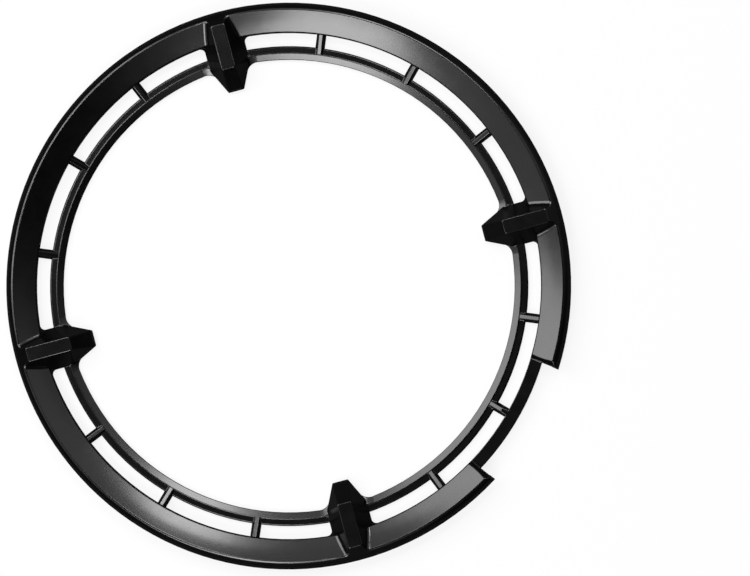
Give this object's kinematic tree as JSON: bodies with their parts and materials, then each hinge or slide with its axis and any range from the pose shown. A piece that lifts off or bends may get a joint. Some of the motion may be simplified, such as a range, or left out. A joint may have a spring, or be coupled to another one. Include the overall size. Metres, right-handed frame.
{
  "type": "chainring guard",
  "caption": "Black moulded chainring guard: a dished crest ring on an inner flange with ribs and fins, notched for the crank arm.",
  "frame": {"origin": "centre of the circle of screw holes, on the plane of the seats at the back", "axes": "+Z along the axis, away from the chainring; +X towards the crank-arm notch"},
  "size_m": [0.2101, 0.2128, 0.0108],
  "materials": {
    "black_plastic": "satin, with a fine moulded grain"
  },
  "bodies": {
    "root": {"guard_ring": "black_plastic"}
  },
  "joints": []
}
